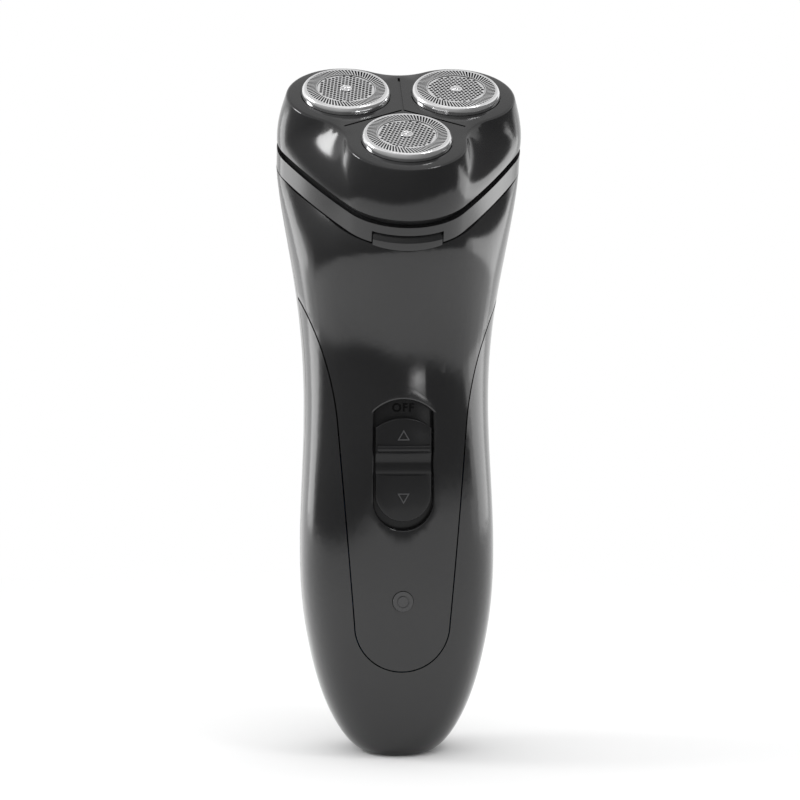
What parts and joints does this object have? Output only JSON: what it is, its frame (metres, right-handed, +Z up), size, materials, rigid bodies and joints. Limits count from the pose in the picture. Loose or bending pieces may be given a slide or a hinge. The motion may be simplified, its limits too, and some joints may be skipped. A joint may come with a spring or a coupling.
{
  "type": "electric rotary shaver",
  "caption": "Cordless rotary shaver: curved black handle with a slide switch, and a tilted, lobed head with floating slotted guards over turning cutters.",
  "frame": {"origin": "on the surface that the foot stands on, under the middle of the whole object", "axes": "+Z up along the handle, front with the switch towards -Y, +X to the viewer right when facing the front"},
  "size_m": [0.058, 0.06, 0.1635],
  "materials": {
    "black_gloss": "gloss",
    "black_satin": "satin",
    "chamber_black": "matte",
    "guard_steel": "polished, punched sheet steel",
    "cutter_steel": "ground",
    "drive_plastic": "moulded acetal",
    "pin_steel": "drawn",
    "brass": "turned",
    "motor_steel": "drawn can",
    "lens": "smoked, translucent",
    "board": "coated laminate",
    "cell_wrap": "shrink sleeve"
  },
  "bodies": {
    "handle": {"front_cover": "black_gloss", "grip_shell": "black_gloss", "rear_shell": "black_gloss", "switch_frame": "black_gloss", "indicator_lens": "lens", "indicator_led": "lens", "circuit_board": "board", "cell_left": "cell_wrap", "cell_right": "cell_wrap", "battery_tray": "chamber_black", "cell_straps": "pin_steel", "power_inlet": "chamber_black", "inlet_pins": "pin_steel", "drive_deck": "chamber_black", "gear_plate": "chamber_black", "gear_axles": "pin_steel", "motor_can": "motor_steel", "motor_end_cap": "drive_plastic", "housing_screws": "pin_steel", "hinge_pin": "pin_steel"},
    "shaving_unit": {"head_cap": "black_gloss", "neck_ring": "chamber_black", "collar": "black_gloss", "retaining_frame": "chamber_black"},
    "frame_lock": {"lock_knob": "chamber_black"},
    "release": {"release_button": "black_gloss"},
    "switch": {"switch_button": "black_satin", "switch_contact": "drive_plastic"},
    "rotor": {"motor_pinion": "brass"},
    "front_guard": {"guard_front": "guard_steel"},
    "front_cutter": {"cutter_front": "cutter_steel"},
    "front_gear": {"drive_gear_front": "drive_plastic", "spindle_spring_front": "pin_steel"},
    "front_spindle": {"spindle_front": "drive_plastic"},
    "left_guard": {"guard_left": "guard_steel"},
    "left_cutter": {"cutter_left": "cutter_steel"},
    "left_gear": {"drive_gear_left": "drive_plastic", "spindle_spring_left": "pin_steel"},
    "left_spindle": {"spindle_left": "drive_plastic"},
    "right_guard": {"guard_right": "guard_steel"},
    "right_cutter": {"cutter_right": "cutter_steel"},
    "right_gear": {"drive_gear_right": "drive_plastic", "spindle_spring_right": "pin_steel"},
    "right_spindle": {"spindle_right": "drive_plastic"}
  },
  "joints": [
    {"name": "switch_slide", "type": "slide", "parent": "handle", "child": "switch", "axis": [0, 0, 1], "range_m": [0, 0.0039]},
    {"name": "release_press", "type": "slide", "parent": "handle", "child": "release", "axis": [0, 0.8829, 0.4695], "range_m": [0, 0.0012], "stiffness_N_per_m": 600, "springref_m": -0.001},
    {"name": "head_open", "type": "hinge", "parent": "handle", "child": "shaving_unit", "pos_m": [0, 0.02777, 0.14895], "axis": [-1, 0, 0], "range_deg": [0, 100]},
    {"name": "lock_turn", "type": "hinge", "parent": "shaving_unit", "child": "frame_lock", "pos_m": [0, -0.00015, 0.14543], "axis": [0, -0.4695, 0.8829], "range_deg": [0, 90]},
    {"name": "motor_spin", "type": "hinge", "parent": "handle", "child": "rotor", "pos_m": [0, 0.00643, 0.13307], "axis": [0, -0.4695, 0.8829], "continuous": true},
    {"name": "front_float", "type": "slide", "parent": "shaving_unit", "child": "front_guard", "axis": [0, -0.4695, 0.8829], "range_m": [-0.0015, 0], "stiffness_N_per_m": 300, "springref_m": 0.003},
    {"name": "front_cutter_spin", "type": "hinge", "parent": "front_guard", "child": "front_cutter", "pos_m": [0, -0.01621, 0.14369], "axis": [0, -0.4695, 0.8829], "continuous": true},
    {"name": "front_gear_spin", "type": "hinge", "parent": "handle", "child": "front_gear", "pos_m": [0, -0.00682, 0.12603], "axis": [0, -0.4695, 0.8829], "continuous": true},
    {"name": "front_spindle_slide", "type": "slide", "parent": "front_gear", "child": "front_spindle", "axis": [0, -0.4695, 0.8829], "range_m": [-0.0015, 0], "deforming": ["spindle_spring_front"]},
    {"name": "left_float", "type": "slide", "parent": "shaving_unit", "child": "left_guard", "axis": [0, -0.4695, 0.8829], "range_m": [-0.0015, 0], "stiffness_N_per_m": 300, "springref_m": 0.003},
    {"name": "left_cutter_spin", "type": "hinge", "parent": "left_guard", "child": "left_cutter", "pos_m": [-0.01299, 0.00366, 0.15425], "axis": [0, -0.4695, 0.8829], "continuous": true},
    {"name": "left_gear_spin", "type": "hinge", "parent": "handle", "child": "left_gear", "pos_m": [-0.01299, 0.01305, 0.13659], "axis": [0, -0.4695, 0.8829], "continuous": true},
    {"name": "left_spindle_slide", "type": "slide", "parent": "left_gear", "child": "left_spindle", "axis": [0, -0.4695, 0.8829], "range_m": [-0.0015, 0], "deforming": ["spindle_spring_left"]},
    {"name": "right_float", "type": "slide", "parent": "shaving_unit", "child": "right_guard", "axis": [0, -0.4695, 0.8829], "range_m": [-0.0015, 0], "stiffness_N_per_m": 300, "springref_m": 0.003},
    {"name": "right_cutter_spin", "type": "hinge", "parent": "right_guard", "child": "right_cutter", "pos_m": [0.01299, 0.00366, 0.15425], "axis": [0, -0.4695, 0.8829], "continuous": true},
    {"name": "right_gear_spin", "type": "hinge", "parent": "handle", "child": "right_gear", "pos_m": [0.01299, 0.01305, 0.13659], "axis": [0, -0.4695, 0.8829], "continuous": true},
    {"name": "right_spindle_slide", "type": "slide", "parent": "right_gear", "child": "right_spindle", "axis": [0, -0.4695, 0.8829], "range_m": [-0.0015, 0], "deforming": ["spindle_spring_right"]}
  ],
  "couplings": [
    {"joint": "front_gear_spin", "follows": "motor_spin", "ratio": -0.5625},
    {"joint": "front_cutter_spin", "follows": "motor_spin", "ratio": -0.5625},
    {"joint": "front_spindle_slide", "follows": "front_float", "ratio": 1},
    {"joint": "left_gear_spin", "follows": "motor_spin", "ratio": -0.5625},
    {"joint": "left_cutter_spin", "follows": "motor_spin", "ratio": -0.5625},
    {"joint": "left_spindle_slide", "follows": "left_float", "ratio": 1},
    {"joint": "right_gear_spin", "follows": "motor_spin", "ratio": -0.5625},
    {"joint": "right_cutter_spin", "follows": "motor_spin", "ratio": -0.5625},
    {"joint": "right_spindle_slide", "follows": "right_float", "ratio": 1}
  ]
}
